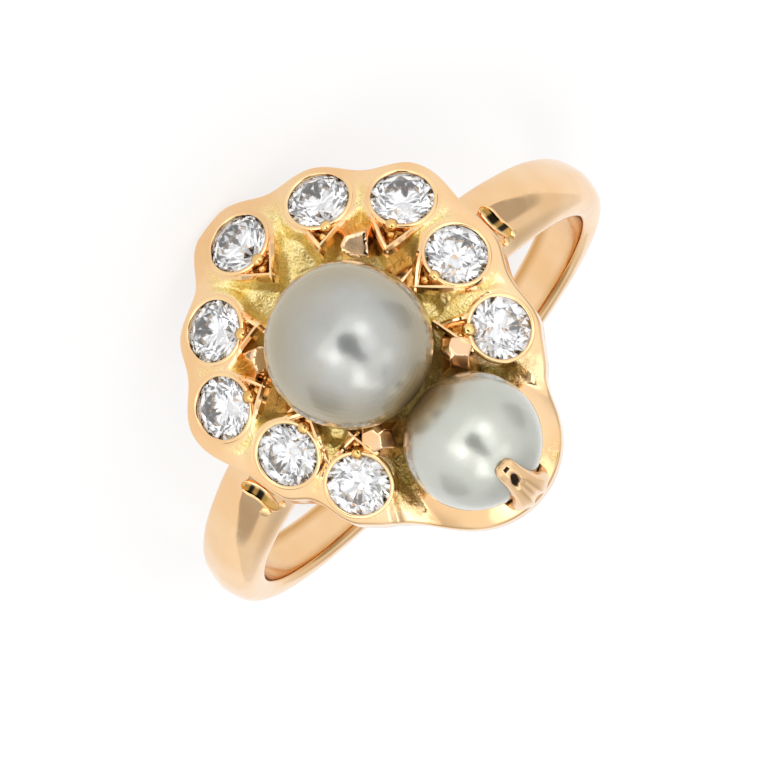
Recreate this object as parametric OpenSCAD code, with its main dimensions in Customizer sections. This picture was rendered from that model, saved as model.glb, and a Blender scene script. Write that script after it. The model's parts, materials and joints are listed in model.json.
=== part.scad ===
// A pearl and diamond cluster ring: one gold mount, two pearls and nine round brilliants.
// Each piece is drawn in the ring's own frame, with the finger hole along Y and the head
// up along Z, and is then laid on its side, the way the ring rests on a table.
// The origin is the centre of the finger hole.

/* [Band] */
// Inside diameter of the finger hole, in millimetres
finger_d = 17; // [16:0.1:18]
// Width of the band at its shoulders, beside the head
shoulder_w = 2.4; // [2:0.05:2.8]
// Width of the band at its back
back_w = 1.7; // [1.4:0.05:2]

/* [Head] */
// Height of the domed top of the head above the finger hole's wall
dome_rise = 3.2; // [3:0.05:3.4]
// Thickness of the domed plate
plate_t = 1; // [0.9:0.05:1.1]
// How far the scallops stand out from the plain edge of the head, as a share of the drawn one
scallop = 1; // [0.6:0.05:1.3]

/* [Stones] */
// Diameter of the large pearl
large_pearl_d = 5.8; // [5.6:0.05:5.85]
// Diameter of the small pearl
small_pearl_d = 4.8; // [4.6:0.05:4.85]
// Diameter of each diamond
diamond_d = 2.25; // [2.1:0.05:2.35]

/* [Hidden] */

// Space between a stone and its metal
gap = 0.04;
// How far a drawn piece runs on into the metal that it is soldered to
run_in = 0.3;
finger_r = finger_d / 2;
dome_r = finger_r + dome_rise;
diamond_r = diamond_d / 2;
large_pearl_r = large_pearl_d / 2;
small_pearl_r = small_pearl_d / 2;

// Pearls: where their centres are
large_pearl_at = [-0.3, -0.2, finger_r + 4.3];
small_pearl_at = [0, -5.44, finger_r + 3.05];
peg_r = 0.4;
peg_h = 1.8;

// Angles round the head start at its lower edge and count anticlockwise seen from above.
// Diamonds: angle round the head, and distance from the head's axis
ANGLE = 0;
AWAY = 1;
diamonds = [
    [   1.6, 5.68],
    [ -32.0, 5.28],
    [  35.5, 5.18],
    [ -64.5, 5.28],
    [  65.5, 5.30],
    [ -97.0, 4.55],
    [  98.5, 4.62],
    [-133.5, 4.95],
    [ 131.0, 4.95]
];
// How far each girdle sits below the top of the dome, and how deep its seat is drilled
girdle_sunk = 0.2;
seat_depth = 1.4;
seat_hole_r = 0.3;

// Brilliant cut: sizes as shares of the diamond's radius
table_r = 0.57;
star_r = 0.76;
lower_r = 0.24;
crown_h = 0.31;
girdle_h = 0.06;
pavilion_h = 0.86;

// Band: angle from the head, thickness from the finger hole's wall to the crest, and share
// of the way from the narrow round back to the wide flat shoulder
TURN = 0;
THICK = 1;
WIDEN = 2;
band_rows = [
    [  0, 2.40, 1.00],
    [ 20, 2.38, 1.00],
    [ 30, 2.15, 1.00],
    [ 40, 1.80, 1.00],
    [ 50, 1.54, 0.95],
    [ 70, 1.36, 0.80],
    [ 95, 1.30, 0.60],
    [135, 1.20, 0.25],
    [180, 1.14, 0.00]
];
band_steps = 72;
// Half of its section, from inside the finger hole round to the crest, as
// [share of the half width, share of the thickness]. The first point is bored away.
shoulder_half = [
    [0.84, -0.25],
    [0.84, 0.03],
    [0.97, 0.13],
    [1.00, 0.30],
    [0.97, 0.74],
    [0.80, 0.88],
    [0.42, 0.97]
];
back_half = [
    [0.70, -0.25],
    [0.70, 0.03],
    [0.93, 0.18],
    [1.00, 0.38],
    [0.93, 0.65],
    [0.72, 0.86],
    [0.38, 0.96]
];
finger_hole_l = 24;

// Edge of the head from above: angle round the head, and distance from the head's axis,
// with a row on the tip of each scallop and one in each dip
EDGE = 1;
edge_rows = [
    [-180, 6.90],
    [-150, 6.42],
    [-134, 6.22],
    [-114, 5.66],
    [ -98, 5.98],
    [ -88, 5.97],
    [ -64, 6.64],
    [ -48, 6.15],
    [ -31, 6.57],
    [ -18, 6.36],
    [  -1, 7.10],
    [   7, 7.10],
    [  24, 6.23],
    [  38, 6.47],
    [  50, 6.23],
    [  67, 6.72],
    [  92, 5.95],
    [ 103, 5.97],
    [ 119, 5.56],
    [ 136, 6.18],
    [ 150, 6.42],
    [ 180, 6.90]
];
plain_edge = 6.2;
edge_steps = 96;

// Head plate as [away, level], from its axis: top out to the crest, and underside of its cup
underside = finger_r + 0.12;
dish = [
    [1.9, finger_r + 1.85],
    [2.9, finger_r + 2.30],
    [3.75, finger_r + 2.50]
];
cup = [
    [3.3, finger_r + 1.45],
    [2.3, finger_r + 1.00],
    [2.05, finger_r + 0.70]
];
edge_round = 0.12;
wall_t = 0.5;
wall_lean = 0.03;

// Bowl under the small pearl: its centre, then the radius and level of its sole, bed,
// crest and edge
bowl_at = [0, -5];
bowl_r = 3.1;
bowl_sole_z = finger_r + 0.1;
bowl_bed_r = 1.9;
bowl_bed_z = finger_r + 1.05;
bowl_crest_r = 2.65;
bowl_crest_z = finger_r + 1.4;
bowl_edge_z = finger_r + 1.15;
bowl_bevel = 0.1;

// Claws round the large pearl: angle round the head, distance from its axis, lean and
// radius at the tip
LEAN = 2;
TIP = 3;
claws = [
    [ -48, 3.60, 16, 0.42],
    [  52, 3.62, 12, 0.42],
    [-147, 3.45,  8, 0.12],
    [ 147, 3.40,  8, 0.12]
];
claw_r = 0.84;
claw_h = 1.95;
claw_base_z = finger_r + 1.4;

// Claw over the small pearl: angle over the pearl, and radius of the metal there
OVER = 0;
METAL = 1;
big_claw = [
    [125, 0.55],
    [100, 0.48],
    [ 76, 0.44],
    [ 56, 0.38],
    [ 42, 0.28]
];
claw_widen = 1.25;
claw_flatten = 0.62;

// The ring lies on the lowest scallop of its head and on the edge of its band's back.
// Both are given as [along the finger, out from the finger hole's centre].
back_edge = back_half[4];
head_touch = [head_edge(0) - wall_lean, underside];
back_touch = [back_edge.x * back_w / 2, finger_r + back_edge.y * band_value(180, THICK)];
rest_tip = atan2(head_touch.x - back_touch.x, head_touch.y + back_touch.y);

function on_circle(angle, away) = [-sin(angle) * away, cos(angle) * away];
function dome_z(away) = sqrt(dome_r * dome_r - away * away);
function mix(a, b, share) = a + (b - a) * share;

// Value of a band column at a turn, on a straight line between the rows on each side of it
function band_value(turn, column, i = 0) =
    band_rows[i + 1][TURN] >= turn
        ? mix(band_rows[i][column], band_rows[i + 1][column],
              (turn - band_rows[i][TURN]) / (band_rows[i + 1][TURN] - band_rows[i][TURN]))
        : band_value(turn, column, i + 1);

// One section of the band as points in the ring's frame
function band_section(turn) =
    let (
        from_head = min(turn, 360 - turn),
        widen = band_value(from_head, WIDEN),
        half_w = mix(back_w, shoulder_w, widen) / 2,
        thick = band_value(from_head, THICK),
        half = [for (i = [0:len(back_half) - 1]) mix(back_half[i], shoulder_half[i], widen)],
        other = [for (i = [len(half) - 1:-1:0]) [-half[i].x, half[i].y]]
    )
    [for (p = concat(half, [[0, 1]], other))
        let (away = finger_r + p.y * thick)
        [sin(turn) * away, p.x * half_w, cos(turn) * away]];

// The band, a closed loop of sections joined by quads
module band() {
    n = 2 * len(back_half) + 1;
    points = [for (k = [0:band_steps - 1]) each band_section((k + 0.5) * 360 / band_steps)];
    faces = [for (k = [0:band_steps - 1], j = [0:n - 1])
        let (a = k * n, b = (k + 1) % band_steps * n, j2 = (j + 1) % n)
        [a + j, b + j, b + j2, a + j2]];
    polyhedron(points, faces, convexity = 6);
}

// Stands its children on the dome, with Z along the dome's outward normal
module on_dome(row) {
    rotate([0, 0, row[ANGLE]])
        rotate([-asin(row[AWAY] / dome_r), 0, 0])
            translate([0, 0, dome_r])
                children();
}

// Distance of the head's edge from its axis: half a cosine wave between two rows
function head_edge(angle, i = 0) =
    edge_rows[i + 1][ANGLE] >= angle
        ? let (
              along = (angle - edge_rows[i][ANGLE]) / (edge_rows[i + 1][ANGLE] - edge_rows[i][ANGLE]),
              drawn = mix(edge_rows[i][EDGE], edge_rows[i + 1][EDGE], (1 - cos(180 * along)) / 2)
          )
          plain_edge + (drawn - plain_edge) * scallop
        : head_edge(angle, i + 1);

// Profile of the head plate out to an edge, from its top centre round to its underside centre
function head_profile(edge) =
    let (
        crest = dish[2].x,
        shoulder = edge - edge_round,
        inner_r = dome_r - plate_t,
        lip = edge - wall_t
    )
    concat(
        dish,
        [for (share = [0.3, 0.65, 1]) let (away = mix(crest, shoulder, share)) [away, dome_z(away)]],
        [[edge, dome_z(edge) - edge_round]],
        [[edge - wall_lean, underside]],
        [[lip, underside]],
        [for (share = [0.1, 0.55])
            let (away = mix(lip, cup[0].x, share)) [away, sqrt(inner_r * inner_r - away * away)]],
        cup
    );

// The head plate, a profile carried round the head's axis with its edge on the scallops
module head_plate() {
    n = len(head_profile(plain_edge));
    points = concat(
        [for (k = [0:edge_steps - 1])
            let (angle = (k + 0.5) * 360 / edge_steps - 180)
            each [for (p = head_profile(head_edge(angle))) concat(on_circle(angle, p.x), p.y)]],
        [[0, 0, dish[0].y], [0, 0, cup[2].y]]
    );
    top = edge_steps * n;
    bottom = top + 1;
    faces = [for (k = [0:edge_steps - 1])
        let (a = k * n, b = (k + 1) % edge_steps * n)
        each concat(
            [[top, b, a]],
            [for (j = [0:n - 2]) [a + j, b + j, b + j + 1, a + j + 1]],
            [[bottom, a + n - 1, b + n - 1]]
        )];
    polyhedron(points, faces, convexity = 6);
}

// Opening in the head plate, under which the bowl's crest is soldered
module bowl_room() {
    translate(concat(bowl_at, bowl_bed_z - run_in))
        cylinder(r = bowl_crest_r - bowl_bevel, h = dome_rise, $fn = 40);
}

// Shallow bowl that carries the small pearl
module bowl() {
    translate(bowl_at)
        rotate_extrude($fn = 48)
            polygon([
                [0, bowl_sole_z],
                [0, bowl_bed_z],
                [bowl_bed_r, bowl_bed_z],
                [bowl_crest_r, bowl_crest_z],
                [bowl_r - bowl_bevel, bowl_edge_z + bowl_bevel],
                [bowl_r, bowl_edge_z],
                [bowl_r, bowl_sole_z]
            ]);
}

// Seat of one diamond: a round wall over a cone that opens under the plate
module seat() {
    wall_r = diamond_r + gap;
    ledge_z = -girdle_sunk - girdle_h * diamond_r;
    mouth_z = 1;
    rotate_extrude($fn = 24)
        polygon([
            [0, mouth_z],
            [0, -seat_depth],
            [seat_hole_r, -seat_depth],
            [wall_r, ledge_z],
            [wall_r, mouth_z]
        ]);
}

// Head: the plate, opened for the bowl, and the bowl
module head() {
    difference() {
        head_plate();
        bowl_room();
    }
    bowl();
}

// Room for a pearl
module pearl_room(at, radius) {
    translate(at)
        sphere(r = radius + gap, $fn = 36);
}

// Peg that a pearl is glued on
module peg(at, radius) {
    translate(at - [0, 0, radius + run_in])
        cylinder(r = peg_r, h = peg_h + run_in, $fn = 24);
}

// Short pointed claw beside the large pearl
module claw(row) {
    translate(concat(on_circle(row[ANGLE], row[AWAY]), claw_base_z))
        rotate([0, 0, row[ANGLE]])
            rotate([row[LEAN], 0, 0])
                rotate([0, 0, 45])
                    cylinder(r1 = claw_r, r2 = row[TIP], h = claw_h, $fn = 4);
}

// One bead of the claw over the small pearl
module claw_bead(bead) {
    away = small_pearl_r + gap + bead[METAL] * claw_flatten;
    translate(small_pearl_at + [0, -sin(bead[OVER]), cos(bead[OVER])] * away)
        rotate([bead[OVER], 0, 0])
            scale([claw_widen, 1, claw_flatten])
                sphere(r = bead[METAL], $fn = 14);
}

module small_pearl_claw() {
    for (i = [0:len(big_claw) - 2])
        hull() {
            claw_bead(big_claw[i]);
            claw_bead(big_claw[i + 1]);
        }
}

// All the metal that is soldered together, before the finger hole is bored
module soldered_metal() {
    difference() {
        union() {
            difference() {
                union() {
                    band();
                    head();
                }
                for (row = diamonds)
                    on_dome(row) seat();
            }
            for (row = claws)
                claw(row);
            small_pearl_claw();
        }
        pearl_room(large_pearl_at, large_pearl_r);
        pearl_room(small_pearl_at, small_pearl_r);
    }
    peg(large_pearl_at, large_pearl_r);
    peg(small_pearl_at, small_pearl_r);
}

// Lays a piece down the way the ring rests: head to the front, small pearl uppermost
module laid_down() {
    rotate([-rest_tip, 0, 0])
        rotate([0, 180, 0])
            rotate([90, 0, 0])
                children();
}

// The mount: resize with no new size joins the drawn metal into one skin, as solder does,
// and the finger hole is bored through it last
module gold_mount() {
    color("burlywood")
        laid_down()
            difference() {
                resize([0, 0, 0])
                    soldered_metal();
                rotate([90, 0, 0])
                    cylinder(r = finger_r, h = finger_hole_l, center = true, $fn = 96);
            }
}

// A pearl, drilled from below for its peg
module pearl(at, radius) {
    laid_down()
        translate(at)
            difference() {
                sphere(r = radius, $fn = 64);
                translate([0, 0, -radius - run_in])
                    cylinder(r = peg_r + gap, h = run_in + peg_h + gap, $fn = 32);
            }
}

// A round brilliant: table, 8 stars, 8 kites and 16 halves above the girdle,
// 16 halves and 8 mains below it
module brilliant() {
    half_step = 180 / 8;
    kite_z = crown_h * (1 - star_r * cos(half_step)) / (1 - table_r);
    main_z = pavilion_h * (1 - lower_r * cos(half_step));
    half_girdle = girdle_h / 2;
    function ring(n, r, z, start) =
        [for (i = [0:n - 1]) [cos(start + i * 360 / n) * r, sin(start + i * 360 / n) * r, z]];
    points = diamond_r * concat(
        ring(8, table_r, half_girdle + crown_h, 0),
        ring(8, star_r, half_girdle + kite_z, half_step),
        ring(16, 1, half_girdle, 0),
        ring(16, 1, -half_girdle, 0),
        ring(8, lower_r, -half_girdle - main_z, half_step),
        [[0, 0, -half_girdle - pavilion_h]]
    );
    star = 8;
    top = 16;
    bottom = 32;
    lower = 48;
    culet = 56;
    faces = concat(
        [[for (i = [7:-1:0]) i]],
        [for (i = [0:7]) let (next = (i + 1) % 8) [i, next, star + i]],
        [for (i = [0:7]) let (last = (i + 7) % 8) [i, star + i, top + 2 * i, star + last]],
        [for (i = [0:7]) [star + i, top + 2 * i + 1, top + 2 * i]],
        [for (i = [0:7]) [star + i, top + (2 * i + 2) % 16, top + 2 * i + 1]],
        [for (i = [0:15]) let (next = (i + 1) % 16) [top + i, top + next, bottom + next, bottom + i]],
        [for (i = [0:7]) [lower + i, bottom + 2 * i, bottom + 2 * i + 1]],
        [for (i = [0:7]) [lower + i, bottom + 2 * i + 1, bottom + (2 * i + 2) % 16]],
        [for (i = [0:7]) let (last = (i + 7) % 8) [culet, lower + last, bottom + 2 * i, lower + i]]
    );
    polyhedron(points, faces, convexity = 2);
}

module diamond(number) {
    color("aliceblue")
        laid_down()
            on_dome(diamonds[number - 1])
                translate([0, 0, -girdle_sunk])
                    brilliant();
}

gold_mount();
color("silver") pearl(large_pearl_at, large_pearl_r);  // large_pearl
color("lightgray") pearl(small_pearl_at, small_pearl_r);  // small_pearl
for (i = [1:9])
    diamond(i);
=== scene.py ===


# %% [markdown]
# # A pearl and diamond cluster ring
#
# The ring is one soldered piece of gold, two grey pearls and nine round brilliants. A solid
# model of it is already there, in a fixed frame, with every stone in its seat. This notebook
# gives the ring its looks: it keeps the solid diamonds and gives them a finish, and it stands
# finer surfaces in for the gold and the pearls.

import json
import math

import bmesh
import bpy
import numpy as np
from mathutils import Matrix, Vector


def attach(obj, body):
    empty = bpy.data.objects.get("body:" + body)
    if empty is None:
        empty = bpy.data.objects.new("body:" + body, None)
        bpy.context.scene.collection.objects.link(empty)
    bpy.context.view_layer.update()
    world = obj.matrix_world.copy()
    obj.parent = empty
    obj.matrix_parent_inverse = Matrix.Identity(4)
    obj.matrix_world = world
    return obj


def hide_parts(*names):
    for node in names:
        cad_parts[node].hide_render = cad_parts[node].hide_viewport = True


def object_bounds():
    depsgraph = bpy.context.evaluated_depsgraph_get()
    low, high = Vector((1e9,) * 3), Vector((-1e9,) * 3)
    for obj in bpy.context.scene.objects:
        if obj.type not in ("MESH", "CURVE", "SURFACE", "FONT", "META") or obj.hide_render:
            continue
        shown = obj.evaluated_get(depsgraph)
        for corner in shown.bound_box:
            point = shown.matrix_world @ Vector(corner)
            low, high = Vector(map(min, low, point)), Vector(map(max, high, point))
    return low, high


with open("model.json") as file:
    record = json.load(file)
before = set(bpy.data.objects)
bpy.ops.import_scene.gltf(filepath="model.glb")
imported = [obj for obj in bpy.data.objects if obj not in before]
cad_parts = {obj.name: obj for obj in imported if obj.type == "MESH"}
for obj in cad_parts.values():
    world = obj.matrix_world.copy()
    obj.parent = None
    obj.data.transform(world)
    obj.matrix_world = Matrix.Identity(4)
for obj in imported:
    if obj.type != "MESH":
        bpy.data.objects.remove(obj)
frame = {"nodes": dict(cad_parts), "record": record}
solid_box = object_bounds()
print("solid model, mm:", [round(1000 * (b - a), 2) for a, b in zip(*solid_box)])

# %% [markdown]
# ## The ring's own frame
#
# A ring is easiest to draw the way it is worn: the finger hole along y, the head up along z,
# and x from shoulder to shoulder. The solid model lies on its side on a table instead. So
# every shape below is drawn upright in millimetres, and one function lays it down. The tilt
# and the finger hole's size come from the record, so they can't drift apart from the solid.

# %% Lay down what is drawn upright
finger_hole = frame["record"]["mounts"][0]
FINGER_R = finger_hole["dims"]["r_mm"]
TIP = math.atan2(finger_hole["axis"][1], finger_hole["axis"][2])
MM = 0.001

# Rows of the turn from the upright frame to the frame in which the ring lies
LAY = np.array([
    [-1, 0, 0],
    [0, -math.sin(TIP), -math.cos(TIP)],
    [0, -math.cos(TIP), math.sin(TIP)],
])


def laid_down(points):
    """Upright millimetres to metres in the frame where the ring lies on its side."""
    return np.asarray(points, float) @ LAY.T * MM


def upright(points):
    """The way back: metres in the laid frame to upright millimetres."""
    return np.asarray(points, float) @ LAY / MM


def unit(vectors):
    """Vectors scaled to length one along the last axis."""
    return np.asarray(vectors, float) / np.linalg.norm(vectors, axis=-1, keepdims=True)


print("finger hole radius", FINGER_R, "mm, tipped by", round(math.degrees(TIP), 2), "degrees")

# %% [markdown]
# ## The camera
#
# The photograph looks down on the head, leaned a little towards the small pearl, and the ring
# lies turned in the picture. Lying on its side, the ring shows that same face to a camera that
# stands about 31 degrees above the table. A long lens keeps the ring free of perspective, as
# jewellery is shot. The aim is a hair beside the finger hole's centre, which frames the ring
# as the photograph does and needs no lens shift.

# %% Set the camera
PHOTO_PX = 782
RING_AT_PX = (405.75, 382.8)
PX_PER_MM = 27.96
DISTANCE_MM = 286.0
ELEVATION = math.radians(30.77)
ROLL = math.radians(130.9)
SENSOR_MM = 36.0


def add_object(name, data):
    """A new object in the scene that shows a mesh, a camera or a lamp."""
    made = bpy.data.objects.new(name, data)
    bpy.context.scene.collection.objects.link(made)
    return made


back = np.array([0, -math.cos(ELEVATION), math.sin(ELEVATION)])
level_right = np.array([1.0, 0, 0])
level_up = np.cross(back, level_right)
picture_right = math.cos(ROLL) * level_right + math.sin(ROLL) * level_up
picture_up = math.cos(ROLL) * level_up - math.sin(ROLL) * level_right
off_right = (RING_AT_PX[0] - PHOTO_PX / 2) / PX_PER_MM
off_up = (PHOTO_PX / 2 - RING_AT_PX[1]) / PX_PER_MM
aim = -MM * (off_right * picture_right + off_up * picture_up)
eye = back * DISTANCE_MM * MM

away = Vector(eye - aim).normalized()
right = (Vector(picture_right) - away * away.dot(Vector(picture_right))).normalized()
camera_data = bpy.data.cameras.new("photo_camera")
camera_data.sensor_width = SENSOR_MM
camera_data.lens = SENSOR_MM * PX_PER_MM * DISTANCE_MM / PHOTO_PX
camera_data.clip_start = 0.01
camera = add_object("photo_camera", camera_data)
camera.matrix_world = Matrix([*np.column_stack([right, away.cross(right), away, eye]), (0, 0, 0, 1)])
bpy.context.scene.camera = camera
print("lens", round(camera_data.lens, 1), "mm")

# %% [markdown]
# ## Helpers for nodes
#
# The light and the finishes are both built from shader nodes. These helpers make the nodes
# and wire them, so that the cells below only say what is blended with what.

# %% Make and wire shader nodes
def set_inputs(tree, node, values):
    """Gives inputs of a node a plain value or another node's outlet."""
    for place, value in values.items():
        if isinstance(value, bpy.types.NodeSocket):
            tree.links.new(value, node.inputs[place])
        else:
            node.inputs[place].default_value = value


def add_node(tree, kind, values, **settings):
    """The outlets of a new shader node with the given settings and inputs."""
    node = tree.nodes.new("ShaderNode" + kind)
    for setting, value in settings.items():
        setattr(node, setting, value)
    set_inputs(tree, node, values)
    return node.outputs


def rescale(tree, value, low, high, to_low, to_high, curve="LINEAR"):
    """A value spread from one range onto another, and kept inside it."""
    return add_node(tree, "MapRange", {
        "Value": value, "From Min": low, "From Max": high, "To Min": to_low, "To Max": to_high,
    }, interpolation_type=curve)["Result"]


def combine(tree, operation, a, b):
    """Two values put together; each is an outlet or a plain number."""
    return add_node(tree, "Math", {0: a, 1: b}, operation=operation)["Value"]


def blend(tree, share, a, b):
    """A colour between a and b; each is an outlet or three numbers."""
    a, b = (c if isinstance(c, bpy.types.NodeSocket) else (*c, 1) for c in (a, b))
    return add_node(tree, "Mix", {0: share, 6: a, 7: b}, data_type="RGBA")[2]


def principled(name, values):
    """A new material with the given values: the material, its tree and its shader."""
    material = bpy.data.materials.new(name)
    material.use_nodes = True
    shader = material.node_tree.nodes["Principled BSDF"]
    set_inputs(material.node_tree, shader, values)
    return material, material.node_tree, shader


print("node helpers:", [f.__name__ for f in (add_node, rescale, combine, blend, principled)])

# %% [markdown]
# ## Table and light
#
# Polished gold shows nothing but its surroundings, so a jewel is shot inside a white tent.
# Here the world is that tent: bright all round, with a soft dark spot where the camera looks
# in, and a dark strip for the arm that holds it. Soft boxes glow round the camera, so a pearl
# shows a dark centre between bright clouds. The tent is open on two sides and has a gap at the
# back. The open sides are what the brown fields on the shoulders mirror. The table is a light
# table that glows a little, so that it stays white under the ring. One large soft lamp stands
# above.

# %% Build the table and the tent
TABLE_HALF = 1.5
table_z = solid_box[0].z
sides = ((-1, -1), (1, -1), (1, 1), (-1, 1))
table_mesh = bpy.data.meshes.new("table")
table_mesh.from_pydata([(TABLE_HALF * x, TABLE_HALF * y, table_z) for x, y in sides], [], [(0, 1, 2, 3)])
table_paint, _, _ = principled("white_table", {
    "Base Color": (0.30, 0.30, 0.30, 1), "Roughness": 0.6, "Specular IOR Level": 0.2,
    "Emission Color": (1, 1, 1, 1), "Emission Strength": 0.68,
})
table_mesh.materials.append(table_paint)
table = add_object("table", table_mesh)


def sky_mask(tree, direction, inner, outer):
    """1 within the inner angle of a direction of the sky, 0 past the outer one, in degrees."""
    sky = add_node(tree, "TexCoord", {})["Generated"]
    facing = add_node(tree, "VectorMath", {0: sky, 1: Vector(direction).normalized()},
                      operation="DOT_PRODUCT")["Value"]
    far, near = math.cos(math.radians(outer)), math.cos(math.radians(inner))
    return rescale(tree, facing, far, near, 0, 1, "SMOOTHSTEP")


def beside_camera(picture_x, picture_y, degrees):
    """The direction so many degrees from the camera, towards a place in the picture."""
    sideways = unit(picture_x * picture_right + picture_y * picture_up)
    angle = math.radians(degrees)
    return math.cos(angle) * back + math.sin(angle) * sideways


# Colours of the walls from straight below to straight above
TENT_WALLS = [
    (0.0, (0.80, 0.80, 0.80)), (0.5, (0.92, 0.91, 0.90)), (0.7, (0.92, 0.92, 0.92)),
    (1.0, (1.0, 1.0, 1.0)),
]
# What hangs in the tent: direction, inner and outer angle in degrees, brightness, extra blue
TENT_PATCHES = [
    ("dark gap at the back", (0, 0.75, 0.66), 20, 42, 0.66, 0),
    ("open side, left", (-0.95, 0.13, 0.22), 15, 23, 0.54, 0),
    ("open side, right", (0.95, 0.13, 0.22), 17, 25, 0.54, 0),
    ("white wall round the camera", back, 30, 100, 1.25, 0),
    ("glow next to the camera", back, 17, 52, 1.75, 0),
    ("soft box, upper right", beside_camera(0.67, 0.74, 27), 4, 14, 2.8, 0),
    ("soft box, right", beside_camera(1.0, 0.12, 31), 3, 11, 1.9, 0),
    ("soft box, lower left", beside_camera(-0.72, -0.68, 25), 5, 14, 3.0, 0),
    ("soft box, left", beside_camera(-0.95, -0.30, 36), 3, 11, 2.2, 0),
    ("soft box, low", beside_camera(0.39, -0.92, 50), 4, 14, 2.1, 0),
    ("soft box, low right", beside_camera(0.96, -0.28, 55), 4, 14, 1.8, 0),
    ("camera arm, near", beside_camera(0.7, -0.72, 16), 6, 12, 0.05, 0.01),
    ("camera arm, middle", beside_camera(0.7, -0.72, 27), 4, 10, 0.15, 0.02),
    ("camera arm, far", beside_camera(0.7, -0.72, 38), 4, 9, 0.35, 0.02),
    ("camera arm, end", beside_camera(0.7, -0.72, 56), 6, 18, 0.55, 0.02),
    ("camera opening", back, 10, 17, 0.01, 0.005),
]
world = bpy.data.worlds.new("white_tent")
world.use_nodes = True
tent = world.node_tree
tent.nodes.clear()
sky = add_node(tent, "TexCoord", {})["Generated"]
height = add_node(tent, "SeparateXYZ", {"Vector": sky})["Z"]
walls = tent.nodes.new("ShaderNodeValToRGB")
walls.color_ramp.interpolation = "EASE"
for level, _ in TENT_WALLS[1:-1]:
    walls.color_ramp.elements.new(level)
for stop, (_, colour) in zip(walls.color_ramp.elements, TENT_WALLS):
    stop.color = (*colour, 1)
set_inputs(tent, walls, {"Fac": rescale(tent, height, -1, 1, 0, 1)})
tent_colour = walls.outputs["Color"]
for _, direction, inner, outer, grey, blue in TENT_PATCHES:
    mask = sky_mask(tent, direction, inner, outer)
    tent_colour = blend(tent, mask, tent_colour, (grey, grey, grey + blue))
tent_light = add_node(tent, "Background", {"Color": tent_colour, "Strength": 1.0})["Background"]
add_node(tent, "OutputWorld", {"Surface": tent_light})
bpy.context.scene.world = world

LAMP_AT = (0.12, -0.1, 0.5)
top_lamp = bpy.data.lights.new("top_lamp", "AREA")
top_lamp.size = 0.35
top_lamp.energy = 0.3
lamp = add_object("top_lamp", top_lamp)
lamp.location = LAMP_AT
lamp.rotation_mode = "QUATERNION"
lamp.rotation_quaternion = Vector(LAMP_AT).to_track_quat("Z", "Y")
print("tent patches:", [patch[0] for patch in TENT_PATCHES])

# %% [markdown]
# ## Helpers for surfaces
#
# A surface here is an array of points with rows and columns. Rows run one way over the
# piece and columns the other, and the columns often close on themselves. Everything is
# worked out for the whole array at once, and then handed to Blender in one go.

# %% Make meshes out of arrays
def smooth(low, high, value):
    """0 below low, 1 above high, and an S-curve between: 3 t squared minus 2 t cubed."""
    t = np.clip((np.asarray(value, float) - low) / (high - low), 0, 1)
    return t * t * (3 - 2 * t)


def smooth_max(a, b, width):
    """The larger of two arrays, with the corner between them rounded over a width."""
    h = np.clip(0.5 + 0.5 * (a - b) / width, 0, 1)
    return b + (a - b) * h + width * h * (1 - h)


def evenly(curve, count):
    """Points at even steps along a line through the given points."""
    length = np.concatenate([[0], np.cumsum(np.linalg.norm(np.diff(curve, axis=0), axis=1))])
    steps = np.linspace(0, length[-1], count)
    return np.stack([np.interp(steps, length, curve[:, k]) for k in (0, 1)], 1)


def quads(rows, columns, closed_rows=False):
    """Corner numbers of every cell of a grid whose columns close on themselves."""
    r = np.arange(rows if closed_rows else rows - 1)[:, None]
    c = np.arange(columns)[None]
    r2, c2 = (r + 1) % rows, (c + 1) % columns
    cell = [r * columns + c, r * columns + c2, r2 * columns + c2, r2 * columns + c]
    return np.stack(cell, -1).reshape(-1, 4)


def fan(ring, centre, flip=False):
    """Triangles from a closed ring of corner numbers to one centre corner."""
    ring = np.asarray(ring)
    pair = np.stack([ring, np.roll(ring, -1)], 1)
    pair = pair[:, ::-1] if flip else pair
    return np.column_stack([pair, np.full(len(ring), centre)])


def capped(grid):
    """Points and faces of a bar: closed rings of points along a path, with flat ends."""
    n, k = grid.shape[:2]
    ends = [np.arange(k)[None], (np.arange(k) + (n - 1) * k)[None, ::-1]]
    return grid.reshape(-1, 3), [quads(n, k), *ends]


def ball_rays(rows_count, sides):
    """Unit directions over a ball, ring by ring from the top, then straight up and down."""
    down = np.linspace(0, math.pi, rows_count + 2)[1:-1, None]
    turn = np.arange(sides)[None] * 2 * math.pi / sides
    level = np.broadcast_to(np.cos(down), (rows_count, sides))
    rays = np.stack([np.sin(down) * np.cos(turn), np.sin(down) * np.sin(turn), level], -1)
    return np.concatenate([rays.reshape(-1, 3), [[0, 0, 1.0], [0, 0, -1.0]]])


def ball_faces(rows_count, sides):
    """The faces that close a ball of such directions, poles included."""
    n = rows_count * sides
    return [quads(rows_count, sides), fan(np.arange(sides), n, flip=True),
            fan(np.arange(n - sides, n), n + 1)]


def make_piece(name, points, faces, material, slot, masks=None, angle=None):
    """A mesh object from upright points in millimetres and arrays of faces.

    Its normals are made to point outwards. Masks are named values for each point, from 0 to
    1, that the material reads. Edges sharper than the angle, in degrees, stay sharp."""
    mesh = bpy.data.meshes.new(name)
    mesh.from_pydata(laid_down(points).tolist(), [], [f for part in faces for f in part.tolist()])
    for mask, values in (masks or {}).items():
        layer = mesh.attributes.new(mask, "FLOAT", "POINT")
        layer.data.foreach_set("value", np.asarray(values, np.float32).ravel())
    work = bmesh.new()
    work.from_mesh(mesh)
    bmesh.ops.recalc_face_normals(work, faces=work.faces)
    work.to_mesh(mesh)
    work.free()
    mesh.shade_smooth()
    if angle is not None:
        mesh.set_sharp_from_angle(angle=math.radians(angle))
    mesh.materials.append(material)
    piece = add_object(name, mesh)
    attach(piece, "root")
    print(name, len(mesh.vertices), "points,", sum(len(p.vertices) - 2 for p in mesh.polygons), "triangles")
    return piece

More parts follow.
